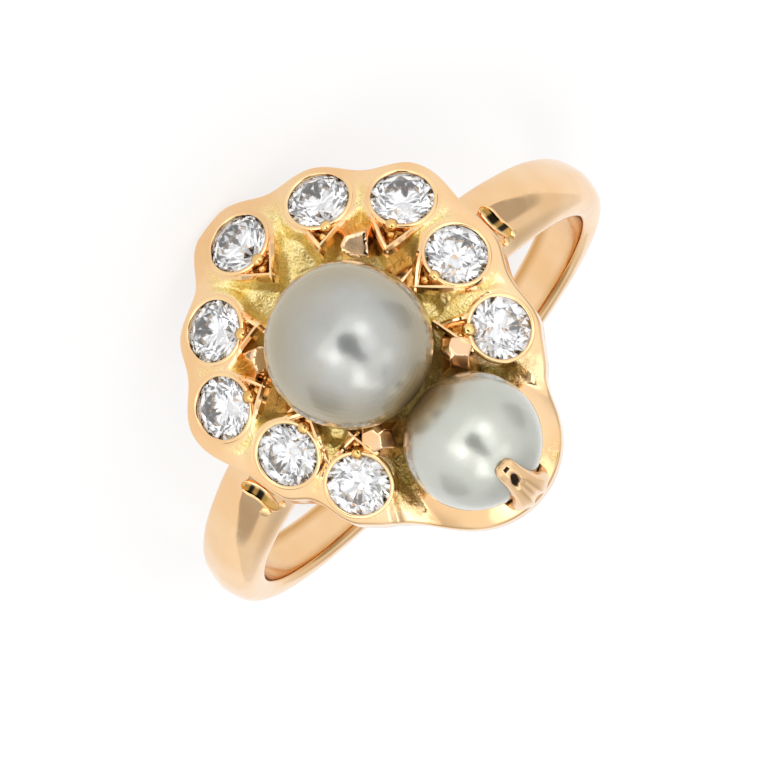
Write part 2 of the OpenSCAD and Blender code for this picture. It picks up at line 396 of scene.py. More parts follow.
# %% [markdown]
# Hand work is never even, so several surfaces take a little noise. It is value noise: a
# random number on every point of a lattice, blended smoothly in between. The seed is fixed,
# so the ring comes out the same every time.

# %% Noise that can be worked out anywhere in space
def noise(points, cell, seed):
    """Smooth noise from -1 to 1 at each point: lattice values blended with S-curves."""
    grid = np.random.default_rng(seed).uniform(-1, 1, (32, 32, 32))
    p = np.asarray(points, float) / cell
    low = np.floor(p).astype(int)
    t = p - low
    t = t * t * (3 - 2 * t)
    total = 0
    for corner in np.ndindex(2, 2, 2):
        weight = np.prod(np.where(corner, t, 1 - t), axis=-1)
        i, j, k = np.moveaxis((low + corner) % 32, -1, 0)
        total = total + weight * grid[i, j, k]
    return total


# %% [markdown]
# ## Finishes
#
# The gold has three finishes. The rim and the band are polished. The ground between the
# stones was worked with punches and has a yellow, matte skin. The little pits beside the
# seats are dark orange, because light bounces in them from gold to gold. Effects that several
# materials share are node groups that hand out plain values.

# %% Make the shared effects
def effect(name, outlets):
    """An empty node group with the given outlets: its tree, and places on the piece in mm."""
    tree = bpy.data.node_groups.new(name, "ShaderNodeTree")
    for label, kind in outlets.items():
        tree.interface.new_socket(label, in_out="OUTPUT", socket_type="NodeSocket" + kind)
    place = add_node(tree, "TexCoord", {})["Object"]
    return tree, add_node(tree, "VectorMath", {0: place, "Scale": 1 / MM}, operation="SCALE")["Vector"]


def hand_out(tree, results):
    """Puts the results of an effect on its outlets, and gives the finished effect."""
    set_inputs(tree, tree.nodes.new("NodeGroupOutput"), results)
    return tree


def speckle(tree, place, size, detail=2.0, stretch=(1, 1, 1)):
    """Noise with blobs of about the given size in millimetres, from 0 to 1."""
    squeezed = add_node(tree, "VectorMath", {0: place, 1: stretch}, operation="MULTIPLY")["Vector"]
    return add_node(tree, "TexNoise", {"Vector": squeezed, "Scale": 1 / size, "Detail": detail})["Fac"]


tree, place = effect("hand_polish", {"Roughness": "Float", "Height": "Float", "Tone": "Float"})
waves = speckle(tree, place, 1.6, 1.0)
rubs = speckle(tree, place, 0.35, 4.0)
hairlines = speckle(tree, place, 0.05, 3.0, (1.0, 0.12, 1.0))
hand_polish = hand_out(tree, {
    "Roughness": rescale(tree, rubs, 0.35, 0.7, 0.07, 0.17),
    "Height": combine(tree, "ADD", waves, combine(tree, "MULTIPLY", hairlines, 0.06)),
    "Tone": waves,
})

GROUND = (0.93, 0.72, 0.27)
GROUND_PALE = (0.98, 0.84, 0.43)
GROUND_DARK = (0.50, 0.38, 0.11)
PUNCH_SIZE = 0.11
tree, place = effect("punched_ground", {"Color": "Color", "Height": "Float"})
punches = add_node(tree, "TexVoronoi", {"Vector": place, "Scale": 1 / PUNCH_SIZE})["Distance"]
grit = speckle(tree, place, 0.06, 4.0)
patches = speckle(tree, place, 0.5, 3.0)
strokes = speckle(tree, place, 0.09, 2.0, (1.0, 0.25, 0.25))
mottled = blend(tree, rescale(tree, patches, 0.38, 0.62, 0, 1), GROUND, GROUND_PALE)
worn = combine(tree, "MULTIPLY", rescale(tree, grit, 0.48, 0.62, 0, 1), 0.6)
dents = combine(tree, "ADD", combine(tree, "MULTIPLY", punches, 0.7), strokes)
punched_ground = hand_out(tree, {
    "Color": blend(tree, worn, mottled, GROUND_DARK), "Height": combine(tree, "ADD", dents, grit),
})
print("effects:", hand_polish.name, punched_ground.name)

# %% Make the gold
POLISHED = (0.90, 0.62, 0.36)
POLISHED_WARM = (0.87, 0.56, 0.29)
PIT = (0.62, 0.30, 0.06)
# Painted shade: nearly black, put on the holes in the seams and on the long claw's drill mark
HOLE_SHADE = (0.03, 0.02, 0.01)
# Painted shade: the darker tone of the sunk ground by the small pearl's bowl, under the pearls
DEEP_SHADE = (0.50, 0.385, 0.11)
PINKISH = (0.88, 0.61, 0.40)
# Painted reflection: amber where polished gold would mirror other gold
GOLD_REFLECTION_AMBER = (0.80, 0.47, 0.13)


def use_effect(tree, effect_tree):
    """The outlets of a shared effect that is carried into a material."""
    return add_node(tree, "Group", {}, node_tree=effect_tree)


def bump(tree, height, depth_mm, strength):
    """Normals from a height of 0 to 1 that stands for so many millimetres."""
    return add_node(tree, "Bump", {
        "Strength": strength, "Distance": depth_mm * MM, "Height": height,
    })["Normal"]


def point_mask(tree, name):
    """The value that a mesh carries in each point under a name."""
    return add_node(tree, "Attribute", {}, attribute_name=name)["Fac"]


def two_toned(tree, cloud, a, b):
    """A colour that drifts between two tones with a broad cloud of noise."""
    return blend(tree, rescale(tree, cloud, 0.35, 0.65, 0, 1), a, b)


def polished_gold(name, colour, warm, amber=GOLD_REFLECTION_AMBER):
    """Polished gold, uneven in tone and rubbed in places, with a painted reflection in amber where gold
    would mirror gold.
    """
    material, tree, shader = principled(name, {"Metallic": 1.0})
    polish = use_effect(tree, hand_polish)
    toned = two_toned(tree, polish["Tone"], colour, warm)
    # Painted reflection: the mask tints the gold amber where it would mirror other gold
    tinted = blend(tree, point_mask(tree, "amber"), toned, amber)
    # Painted shade: nearly black where the hole mask marks a hole
    set_inputs(tree, shader, {
        "Base Color": blend(tree, point_mask(tree, "hole"), tinted, HOLE_SHADE),
        "Roughness": polish["Roughness"],
        "Normal": bump(tree, polish["Height"], 0.02, 0.5),
    })
    return material


# The band's painted reflection on its inner wall is a deeper amber
band_gold = polished_gold("band_gold", POLISHED, POLISHED_WARM, (0.60, 0.31, 0.09))
claw_gold = polished_gold("claw_gold", PINKISH, POLISHED_WARM)
ridge_gold = polished_gold("ridge_gold", (0.95, 0.68, 0.36), POLISHED_WARM)
grain_gold = polished_gold("grain_gold", (0.84, 0.56, 0.24), (0.70, 0.42, 0.14))

head_gold, tree, shader = principled("head_gold", {"Metallic": 1.0})
polish = use_effect(tree, hand_polish)
punched = use_effect(tree, punched_ground)
ground, pit, deep = (point_mask(tree, name) for name in ("ground", "pit", "deep"))
rim_colour = two_toned(tree, polish["Tone"], POLISHED, POLISHED_WARM)
# Painted shade: the deep ground by the bowl is darkened towards a shaded tone
ground_colour = blend(tree, combine(tree, "MULTIPLY", deep, 0.6), punched["Color"], DEEP_SHADE)
worked = blend(tree, ground, rim_colour, ground_colour)
matte = combine(tree, "MULTIPLY", ground, 0.30)
stippled = combine(tree, "ADD", combine(tree, "MAXIMUM", ground, pit), combine(tree, "MULTIPLY", deep, 2.0))
dented = combine(tree, "MULTIPLY", stippled, punched["Height"])
raised = combine(tree, "ADD", combine(tree, "MULTIPLY", polish["Height"], 0.3), dented)
set_inputs(tree, shader, {
    "Base Color": blend(tree, pit, worked, PIT),
    "Roughness": combine(tree, "ADD", polish["Roughness"], matte),
    "Normal": bump(tree, raised, 0.035, 0.8),
})
print("gold:", [m.name for m in (band_gold, claw_gold, ridge_gold, grain_gold, head_gold)])

# %% [markdown]
# ## The head
#
# The head is one piece of gold, and in the model it is a plain domed plate with scallops.
# On the photograph it is full of hand work: a polished rim, nine seats with a narrow collar
# that runs to a point at the pearl, a matte valley between every two of them, and the bowl of
# the small pearl. All of that is one height field over a polar grid. Its rows run from the
# axis out to the edge, over the edge and back underneath, so the plate is closed, and the
# seats are cut right through it.

# %% Read the places of the stones from the model
def node_points(name):
    """The corners of a solid, in the ring's upright frame in millimetres."""
    node = frame["nodes"][name]
    corners = np.empty(len(node.data.vertices) * 3)
    node.data.vertices.foreach_get("co", corners)
    turn, place = np.array(node.matrix_world.to_3x3()), np.array(node.matrix_world.translation)
    return upright(corners.reshape(-1, 3) @ turn.T + place)


def ball(name):
    """Centre and radius of a round solid: the middle of its box and half its width."""
    points = node_points(name)
    low, high = points.min(0), points.max(0)
    return (low + high) / 2, (high[0] - low[0]) / 2


large_at, large_r = ball("large_pearl")
small_at, small_r = ball("small_pearl")
stones = np.array([unit(node_points(f"diamond_{n}").mean(0)) for n in range(1, 10)])
print("large pearl", large_at.round(2), round(large_r, 2))
print("small pearl", small_at.round(2), round(small_r, 2))

# %% Describe the top of the head
DOME_R = FINGER_R + 3.2
INNER_R = DOME_R - 1.0
UNDERSIDE = FINGER_R + 0.12
SEAT_R = 1.165
LEDGE_DEPTH = 0.2675
THROAT_R = 0.606
COLLAR_R = 1.25
BOWL_Y = -5.0
BOWL_R = 3.1
PEARL_GAP = 0.06
VALLEY_DEPTH = 0.88
RIM_DROP = 0.14
LOWER_DEPTH = 0.22
PIT_DEPTH = 0.45
BOWL_FLOOR = FINGER_R + 1.02
BOWL_SHOULDER = 0.54
CLAW_MARKS_AT = (1.45, -7.3)
NOTCH_TURN = 142.8
EDGE_ANGLE, EDGE_AWAY = np.array([
    (-180, 6.90), (-150, 6.42), (-134, 6.22), (-114, 5.66), (-98, 5.98), (-88, 5.97), (-64, 6.64),
    (-48, 6.15), (-31, 6.57), (-18, 6.36), (-1, 7.10), (7, 7.10), (24, 6.23), (38, 6.47), (50, 6.23),
    (67, 6.72), (92, 5.95), (103, 5.97), (114, 5.66), (131, 6.22), (140, 6.27), (150, 6.42),
    (180, 6.90),
]).T
stone_xy = stones[:, :2] * (DOME_R - 0.2)
to_pearl = unit(large_at[:2] - stone_xy)
# Ridge tips: how far toward the pearl and to the side of each seat, and half the ridges' spread
RIDGES = np.array([
    (1.74, -0.02, 0.85), (1.67, -0.31, 0.58), (1.52, 0.34, 0.62), (1.88, 0.06, 0.82), (1.56, 0.11, 0.62),
    (1.75, -0.09, 0.92), (1.54, 0.14, 0.60), (1.95, -0.37, 0.48), (1.56, 0.08, 0.52),
])


def plain_edge(turn):
    """Distance of the scalloped edge from the axis: half a cosine wave between two rows."""
    k = np.clip(np.searchsorted(EDGE_ANGLE, turn, side="right") - 1, 0, len(EDGE_ANGLE) - 2)
    along = (turn - EDGE_ANGLE[k]) / (EDGE_ANGLE[k + 1] - EDGE_ANGLE[k])
    wave = (1 - np.cos(np.pi * along)) / 2
    return EDGE_AWAY[k] + (EDGE_AWAY[k + 1] - EDGE_AWAY[k]) * wave


def bowl_reach(turn):
    """Distance from the axis at which a ray leaves the bowl's circle, or 0 where it misses."""
    along = BOWL_Y * np.cos(np.radians(turn))
    inside = along ** 2 - BOWL_Y ** 2 + BOWL_R ** 2
    return np.where((inside > 0) & (along > 0), along + np.sqrt(np.maximum(inside, 0)), 0)


def head_edge(turn):
    """Outline of the head from above: the scallops and the bowl, joined without a corner."""
    return smooth_max(plain_edge(turn), bowl_reach(turn), 0.55 + 0.35 * smooth(0, 90, turn))


def ridge_ends(stone):
    """Where the two ridges of a seat start, and the tip where they meet, along and across."""
    *tip, spread = RIDGES[stone]
    start_along = math.sqrt(SEAT_R ** 2 - spread ** 2)
    return np.array([(start_along, -spread), (start_along, spread)]), np.array(tip)


def wedge(along, across, stone):
    """Distance from the triangle between a seat's ridges, negative inside it.

    It is the largest of three distances, one from each side of the triangle."""
    starts, tip = ridge_ends(stone)
    distance = starts[0, 0] - 0.4 - along
    for hand, heading in zip((-1, 1), unit(tip - starts)):
        side = ((across - tip[1]) * heading[0] - (along - tip[0]) * heading[1]) * hand
        distance = np.maximum(distance, side)
    return distance


def pearl_under(x, y, at, radius):
    """Level of a pearl's lower half at each place, and a high level beside the pearl."""
    q2 = (x - at[0]) ** 2 + (y - at[1]) ** 2
    return np.where(q2 < radius ** 2, at[2] - np.sqrt(np.maximum(radius ** 2 - q2, 0)), 99.0)


def teardrops(place):
    """Distance outside the teardrops round the seats, nearness to a seat, and the pits.

    A teardrop is a seat's round collar and the triangle between its ridges. A pit lies inside
    each triangle, past the collar."""
    outside = np.full(place.shape[:-1], 9.0)
    in_seat, pit = np.zeros((2, *outside.shape))
    for stone, axis in enumerate(stones):
        from_seat = place[..., :2] - stone_xy[stone]
        along, across = from_seat @ to_pearl[stone], from_seat @ (to_pearl[stone, ::-1] * [-1, 1])
        from_axis = np.linalg.norm(np.cross(place, axis), axis=-1)
        triangle = wedge(along, across, stone)
        outside = np.minimum(outside, np.minimum(from_axis - COLLAR_R, triangle))
        in_seat = np.maximum(in_seat, smooth(COLLAR_R + 0.5, COLLAR_R, from_axis))
        hollow = smooth(-0.07, -0.17, triangle) * smooth(SEAT_R + 0.02, SEAT_R + 0.14, from_axis)
        pit = np.maximum(pit, hollow * (along > 0.4))
    return outside, in_seat, pit


def worked_plate(x, y, place, rough):
    """Level of the dome with its valleys, its matte ground and its pits, before the bowl.

    Outside the teardrops the dome sinks to a floor that starts deep at the large pearl and
    runs out to nothing at the rim. On the lower side the floor is flatter and cut harder."""
    q = np.hypot(x - large_at[0], y - large_at[1])
    pearl_turn = np.arctan2(x - large_at[0], y - large_at[1])
    edge = head_edge(np.degrees(np.arctan2(-x, y)))
    outside, in_seat, pit = teardrops(place)
    lower_side = smooth(0.8, -0.6, y)
    crest = place[..., 2] - 0.42 * smooth(4.5, 3.0, q) * (1 - in_seat) * (1 - 0.55 * lower_side)
    streaks = np.abs(noise(np.stack([pearl_turn * 3.3, q * 0.5, 0 * q], -1), 0.13, 5))
    hard_cut = smooth(0.5, -0.8, y) * smooth(0.9, 0.5, np.abs(q - 3.9) / 1.3)
    out = np.clip((np.hypot(x, y) - 3.0) / (edge - 3.2), 0, 1)
    sunk = VALLEY_DEPTH * smooth(0.95, -0.15, out) + RIM_DROP * smooth(1.0, 0.72, out)
    flat_floor = LOWER_DEPTH * smooth(1.0, 0.7, out) + 0.40 * smooth(3.6, 3.0, q)
    sunk = sunk + (flat_floor - sunk) * lower_side
    hand_cut = 0.050 * rough + 0.13 * (streaks - 0.4) * hard_cut
    hand_cut = hand_cut * smooth(0.05, 0.4, outside) * smooth(0.92, 0.7, out)
    level = crest - sunk * smooth(0.0, 0.5, outside) + hand_cut - PIT_DEPTH * pit + 0.05 * pit * rough
    centre_floor = FINGER_R + 1.3 + 0.6 * smooth(0.8, 2.9, q) + 2 * smooth(2.6, 3.0, q)
    level = np.where(q < 3.0, np.minimum(level, centre_floor), level)
    return level, smooth(0.03, 0.16, outside) * smooth(1.0, 0.66, out + 0.06 * rough), pit


def bowl_surface(x, y, from_bowl, rough):
    """Level of the small pearl's bowl, its matte bed, and the share of the plate it replaces."""
    outer_side = smooth(-4.2, -5.3, y)
    rise = BOWL_SHOULDER * smooth(1.75, 2.15, from_bowl) * outer_side
    fall = 0.60 * np.clip((from_bowl - 2.25) / 0.85, 0, 1) ** 1.2
    level = BOWL_FLOOR + rise - fall + 0.10 * rough * (1 - outer_side)
    on_lobe = smooth(-4.7, -6.3, y) * (np.hypot(x, y) > 3)
    in_bowl = np.clip(smooth(3.15, 2.45, from_bowl) + on_lobe, 0, 1)
    return level, 1 - smooth(1.9, 2.15, from_bowl) * outer_side, in_bowl


def head_top(x, y):
    """Level of the head's top, with its masks: matte ground, pits, and the deep ground by the bowl, which
    is painted darker as shade.

    The polished metal follows the dome, a ball of radius DOME_R. The bowl replaces the worked
    plate near the small pearl, and all of it stays a little clear of both pearls."""
    r = np.hypot(x, y)
    from_bowl = np.hypot(x, y - BOWL_Y)
    place = np.stack([x, y, np.sqrt(np.maximum(DOME_R ** 2 - r ** 2, 1))], -1)
    rough = noise(place, 0.34, 3) * 0.6 + noise(place, 0.16, 4) * 0.4
    level, ground, pit = worked_plate(x, y, place, rough)
    bowl, bed, in_bowl = bowl_surface(x, y, from_bowl, rough)
    level = level + (bowl - level) * in_bowl
    ground = ground + (bed - ground) * in_bowl
    trench = FINGER_R + 0.95 + 1.2 * smooth(2.65, 3.35, from_bowl) + 1.2 * smooth(-4.2, -5.0, y)
    level = np.where(y < -1.5, np.minimum(level, trench), level)
    for at, radius in ((large_at, large_r), (small_at, small_r)):
        level = np.minimum(level, pearl_under(x, y, at, radius + PEARL_GAP))

    punches = noise(place, 0.20, 6) + 0.5 * noise(place, 0.11, 7)
    # The deep ground near the bowl, under the pearls: sunk, punched harder and painted in shade
    near_bowl = smooth(3.9, 3.3, from_bowl) * smooth(-0.9, -2.0, y) * np.clip(ground, 0, 1)
    from_marks = np.hypot(x - CLAW_MARKS_AT[0], y - CLAW_MARKS_AT[1]) / 0.42
    marks = smooth(0.15, 0.5, noise(place, 0.14, 8)) * np.exp(-from_marks ** 4)
    from_notch = np.degrees(np.arctan2(-x, y)) - NOTCH_TURN
    notch = np.exp(-(from_notch / 1.3) ** 2) * smooth(5.1, 5.3, r)
    level = level - 0.16 * near_bowl * smooth(-0.1, 0.7, punches) - 0.07 * marks - 0.16 * notch
    ground = np.clip(np.maximum(ground, 0.8 * marks), 0, 1)
    return level, ground, np.clip(pit * (1 - in_bowl), 0, 1), near_bowl

# %% Lay out the head's rows and columns
COLUMNS = 600
MAIN_ROWS = 60
CENTRE_RINGS = (0.7, 1.4, 2.0, 2.5)
EDGE_ROUND = 0.2
WALL_LEAN = 0.03
BOTTOM_BREAK = 0.05
LIP = 0.5
BOWL_SOLE = FINGER_R + 0.14
THINNEST = 0.3
START_SLOPE = math.radians(32)

turns = (np.arange(COLUMNS) + 0.5) * 360 / COLUMNS - 180
edge = head_edge(turns)
outward = np.stack([-np.sin(np.radians(turns)), np.cos(np.radians(turns))], -1)
arc_start = edge - EDGE_ROUND * (1 - math.sin(START_SLOPE))
shares = np.linspace(0, 1, MAIN_ROWS + 1)[1:, None]
core = np.repeat(np.array(CENTRE_RINGS)[:, None], COLUMNS, axis=1)
away = np.concatenate([core, core[-1] + (arc_start - core[-1]) * shares])
top_x, top_y = away * outward[:, 0], away * outward[:, 1]
top_z, ground_mask, pit_mask, deep_mask = head_top(top_x, top_y)

arc_turns = np.linspace(START_SLOPE, math.pi / 2, 7)[1:, None]
arc_away = edge - EDGE_ROUND + EDGE_ROUND * np.sin(arc_turns)
arc_z = top_z[-1] - EDGE_ROUND * (math.cos(START_SLOPE) - np.cos(arc_turns))
wall_shares = np.array([0.25, 0.5, 0.75, 0.95, 1.0])[:, None]
wall_away = edge - WALL_LEAN * wall_shares - BOTTOM_BREAK * (wall_shares == 1)
wall_z = arc_z[-1] + (UNDERSIDE - arc_z[-1]) * wall_shares

lip = edge - LIP
inner_dome = np.sqrt(INNER_R ** 2 - away ** 2)
cup = np.interp(away, [2.05, 2.5, 3.3, 3.8], [0.70, 1.05, 1.45, 1.62]) + FINGER_R
cup = np.where(away < 3.8, np.minimum(inner_dome, cup), inner_dome)
under_z = UNDERSIDE + (cup - UNDERSIDE) * smooth(lip, lip - 0.3, away)
solid_bowl = smooth(3.25, 2.9, np.hypot(top_x, top_y - BOWL_Y))
under_z = under_z + (BOWL_SOLE - under_z) * solid_bowl
under_z = np.maximum(np.minimum(under_z, top_z - THINNEST), UNDERSIDE)


def grid_points(away_rows, z_rows):
    """Points of grid rows, one after another, from their distances and levels."""
    return np.concatenate([away_rows[..., None] * outward, z_rows[..., None]], -1).reshape(-1, 3)


top = grid_points(away, top_z)
under = grid_points(away, under_z)
side = grid_points(np.concatenate([arc_away, wall_away]), np.concatenate([arc_z, wall_z]))
rows = len(away)
print("head grid", rows, "rows x", COLUMNS, "columns, edge", edge.min().round(2), "to", edge.max().round(2))

# %% Cut the nine seats and close the head
SEAT_SPREAD = 1.6


def seat_reach(points, axis):
    """Distance of each point from a seat's axis, and the step away from that axis."""
    step = points - (points @ axis)[..., None] * axis
    return np.linalg.norm(step, axis=-1), step


cells = quads(rows, COLUMNS)
middles = top[cells].mean(1)
owner = np.full(len(cells), -1)
for stone, axis in enumerate(stones):
    owner[seat_reach(middles, axis)[0] < SEAT_R] = stone
owner_grid = owner.reshape(-1, COLUMNS)

# Edges where a cut cell meets a kept one: first between rows, then between columns
rim_edges, rim_owner = [], []
for down, across in ((1, 0), (0, 1)):
    beyond = np.roll(owner_grid, (-down, -across), (0, 1))
    r, c = np.nonzero((owner_grid >= 0) != (beyond >= 0))
    next_c = (c + 1) % COLUMNS
    start = (r + down) * COLUMNS + (next_c if across else c)
    rim_edges.append(np.stack([start, (r + 1) * COLUMNS + next_c], 1))
    rim_owner.append(np.maximum(owner_grid[r, c], beyond[r, c]))
rim_edges = np.concatenate(rim_edges)
rim_owner = np.concatenate(rim_owner)

under_start = len(top) + len(side)
ledge_start = under_start + len(under)
ledge = np.zeros((0, 3))
seat_faces = []
for stone, axis in enumerate(stones):
    mine = rim_edges[rim_owner == stone]
    corners, place_of = np.unique(mine, return_inverse=True)
    reach, step = seat_reach(top[corners], axis)
    top[corners] += step * (SEAT_R / reach - 1)[:, None]
    direction = step / reach[:, None]

    near = np.nonzero(seat_reach(under, axis)[0] < SEAT_SPREAD)[0]
    reach, step = seat_reach(under[near], axis)
    moved = np.interp(reach, [0, SEAT_R, SEAT_SPREAD], [0, THROAT_R, SEAT_SPREAD])
    shifted = under[near] + step * (moved / np.maximum(reach, 1e-9) - 1)[:, None]
    on_shell = smooth(0.2, 0.0, np.abs(np.linalg.norm(under[near], axis=1) - INNER_R))
    shifted *= (1 + on_shell * (INNER_R / np.linalg.norm(shifted, axis=1) - 1))[:, None]
    under[near] = shifted
    under[corners] = axis * math.sqrt(INNER_R ** 2 - THROAT_R ** 2) + direction * THROAT_R

    a, b = mine.T
    ledge_a, ledge_b = ledge_start + len(ledge) + place_of.reshape(mine.shape).T
    ledge = np.concatenate([ledge, axis * (DOME_R - LEDGE_DEPTH) + direction * SEAT_R])
    seat_faces.append(np.stack([a, b, ledge_b, ledge_a], 1))
    seat_faces.append(np.stack([ledge_a, ledge_b, under_start + b, under_start + a], 1))

kept = cells[owner < 0]
ring = np.arange(COLUMNS)
last = (rows - 1) * COLUMNS
side_rows = len(top) + np.arange(len(side)).reshape(-1, COLUMNS)
side_grid = np.concatenate([[ring + last], side_rows, [ring + under_start + last]])
side_cells = side_grid.ravel()[quads(len(side_grid), COLUMNS)]
pole = ledge_start + len(ledge)
poles = np.array([[0, 0, head_top(np.zeros(1), np.zeros(1))[0][0]], [0, 0, FINGER_R + 0.70]])
head_points = np.concatenate([top, side, under, ledge, poles])
closing = [fan(ring, pole), fan(under_start + ring, pole + 1, flip=True)]
head_faces = [kept, side_cells, kept[:, ::-1] + under_start, *seat_faces, *closing]
blank = np.zeros(len(head_points) - len(top))
masks = {"ground": ground_mask, "pit": pit_mask, "deep": deep_mask}
masks = {mask: np.concatenate([values.ravel(), blank]) for mask, values in masks.items()}
head = make_piece("gold_head", head_points, head_faces, head_gold, "gold", masks)
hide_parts("gold_mount")

# %% [markdown]
# ## The band
#
# The band is one sweep round the finger hole. Its section is a flat D: the inside is the wall
# of the hole, and the outside is softly rounded, wide and tall beside the head and slim at the
# back. The front of each shoulder is rounder than its rear, and the crest leans to the rear.
# The inner wall keeps the hole's exact radius. Near its edges it is painted amber, a painted
# reflection of the gold that it would mirror there.

# %% Sweep the band
SHOULDER_W = 2.4
BACK_W = 1.7
# Rows: turn from the head, thickness in mm, share of the shoulder's width, share of its
# section, and how far the crest leans to the rear as a share of the half width
BAND_TURN, BAND_THICK, BAND_WIDEN, BAND_ROOF, BAND_LEAN = np.array([
    (0, 2.40, 1.0, 1.0, 0.28), (20, 2.38, 1.0, 1.0, 0.28), (30, 2.15, 1.0, 1.0, 0.28),
    (40, 1.80, 1.0, 1.0, 0.24), (50, 1.54, 0.95, 0.85, 0.05), (70, 1.36, 0.80, 0.25, 0.0),
    (95, 1.30, 0.60, 0.0, 0.0), (135, 1.20, 0.25, 0.0, 0.0), (180, 1.14, 0.0, 0.0, 0.0),
]).T
# Half sections from the middle of the inner wall to the crest: share of the half width, share
# of the thickness
SHOULDER_HALF = np.array([
    (0.0, 0.0), (0.5, 0.0), (0.84, 0.0), (0.97, 0.13), (1.0, 0.30), (1.0, 0.60), (0.965, 0.755),
    (0.86, 0.825), (0.45, 0.925), (0.06, 0.985), (0.0, 1.0),
])
FRONT_HALF = np.array([
    (0.0, 0.0), (0.5, 0.0), (0.84, 0.0), (0.97, 0.06), (1.0, 0.14), (1.0, 0.26), (0.94, 0.46),
    (0.85, 0.60), (0.74, 0.716), (0.62, 0.803), (0.5, 0.863), (0.35, 0.919), (0.2, 0.962),
    (0.05, 0.994), (0.0, 1.0),
])
BACK_HALF = np.array([
    (0.0, 0.0), (0.4, 0.0), (0.80, 0.0), (0.95, 0.08), (1.0, 0.20), (1.0, 0.46), (0.94, 0.66),
    (0.76, 0.84), (0.45, 0.94), (0.15, 0.99), (0.0, 1.0),
])
REAR_SWELL = 0.11
BAND_STEPS = 480
SECTION_STEPS = 96


def natural(x, ys):
    """Values of the table above as a smooth curve: straight lines blurred over five degrees."""
    reach = np.linspace(-5, 5, 24)
    weight = np.exp(-(reach / 3.0) ** 2)
    total = sum(w * np.interp(np.abs(x + d), BAND_TURN, ys) for d, w in zip(reach, weight))
    return total / weight.sum()


def rounded_half(half, count):
    """A polyline of a half section as a smooth curve with evenly spaced points.

    The corners are cut three times, each time at a quarter of the way along both sides."""
    curve = half
    for _ in range(3):
        near = curve[:-1] * 0.75 + curve[1:] * 0.25
        far = curve[:-1] * 0.25 + curve[1:] * 0.75
        middle = np.stack([near, far], 1).reshape(-1, 2)
        curve = np.concatenate([curve[:1], middle, curve[-1:]])
    return evenly(curve, count)


def band_surface(turn_steps, half_steps):
    """Points of the band: turn round the finger hole by place round the section.

    Each section point is a share of the half width and a share of the thickness, and both
    change slowly with the turn away from the head. The front half, toward the small pearl, is
    rounder than the rear one, except under the head. Beside the head the crest leans to the
    rear, by a share that fades to nothing at the sides, and the rear swells a little."""
    turn = np.arange(turn_steps)[:, None] * 360 / turn_steps
    from_head = np.minimum(turn, 360 - turn)
    wide, round_front, slim = (rounded_half(h, half_steps) for h in (SHOULDER_HALF, FRONT_HALF, BACK_HALF))
    front = wide + (round_front - wide) * smooth(30, 42, from_head)[..., None]
    roof = natural(from_head, BAND_ROOF)[..., None]
    rear, front = slim + (wide - slim) * roof, slim + (front - slim) * roof
    side, rise = np.moveaxis(np.concatenate([rear, front[:, -2:0:-1] * [-1, 1]], 1), -1, 0)
    across = side + natural(from_head, BAND_LEAN) * (1 - side ** 2)
    swell = 1 + REAR_SWELL * smooth(15, 35, from_head) * smooth(130, 85, from_head)
    across = np.where(across > 0, across * swell, across)
    half_width = (BACK_W + (SHOULDER_W - BACK_W) * natural(from_head, BAND_WIDEN)) / 2
    reach = FINGER_R + rise * natural(from_head, BAND_THICK)
    # Painted reflection: amber on the inner wall near its edges, where it would mirror gold
    glow = smooth(0.05, 0.0, rise) * smooth(0.35, 0.85, np.abs(side))
    angle = np.radians(turn)
    return np.stack([np.sin(angle) * reach, across * half_width, np.cos(angle) * reach], -1), glow


band_grid, glow = band_surface(BAND_STEPS, SECTION_STEPS // 2 + 1)
band_faces = [quads(*band_grid.shape[:2], closed_rows=True)]
make_piece("gold_band", band_grid.reshape(-1, 3), band_faces, band_gold, "gold", {"amber": glow}, angle=50)

# %% [markdown]
# ## Hand work on the head
#
# The setter raised a bright cut ridge along both sides of every seat. Each pair crosses in
# front of the large pearl. One small grain of gold is pushed over the inner edge of each
# diamond to hold it. A thin ring finishes each seat and laps a little over the stone's edge.

# %% Add seat rings, bright cut ridges and grains
def joined(parts):
    """Several (points, faces) put into one pair, with the corner numbers moved along."""
    points, faces, start = [], [], 0
    for part_points, part_faces in parts:
        points.append(part_points)
        faces += [face + start for face in part_faces]
        start += len(part_points)
    return np.concatenate(points), faces


def side_axes(axis):
    """Two directions that stand square to an axis."""
    first = unit(np.cross(axis, (0.0, 1.0, 0.2)))
    return first, np.cross(axis, first)


def lathe(axis, profile, count):
    """A closed profile of (distance, level) carried round an axis through the origin."""
    first, second = side_axes(axis)
    angle = np.arange(count)[:, None] * 2 * math.pi / count
    spoke = np.cos(angle) * first + np.sin(angle) * second
    away, level = np.asarray(profile).T[..., None, None]
    return (level * axis + away * spoke).reshape(-1, 3), [quads(len(profile), count, closed_rows=True)]


def strip(path, normals, widths, heights, sink):
    """A raised bar along a path: a flat top with sloping sides that goes down into the metal."""
    across = unit(np.cross(normals, unit(np.gradient(path, axis=0))))
    body = [path + place * widths[:, None] * across + rise * heights[:, None] * normals
            for place, rise in ((-0.5, 0), (-0.22, 1), (0.22, 1), (0.5, 0))]
    feet = [path + place * widths[:, None] * across - sink * normals for place in (0.5, -0.5)]
    return capped(np.stack(body + feet, 1))


SEAT_RING = [
    (1.162, -0.22), (1.162, -0.09), (1.095, -0.06), (1.098, -0.022), (1.125, 0.000), (1.17, 0.010),
    (1.21, 0.002), (1.24, -0.03), (1.24, -0.2),
]
rings = [lathe(axis, [(away, DOME_R + level) for away, level in SEAT_RING], 96) for axis in stones]
make_piece("seat_rings", *joined(rings), ridge_gold, "gold", angle=40)

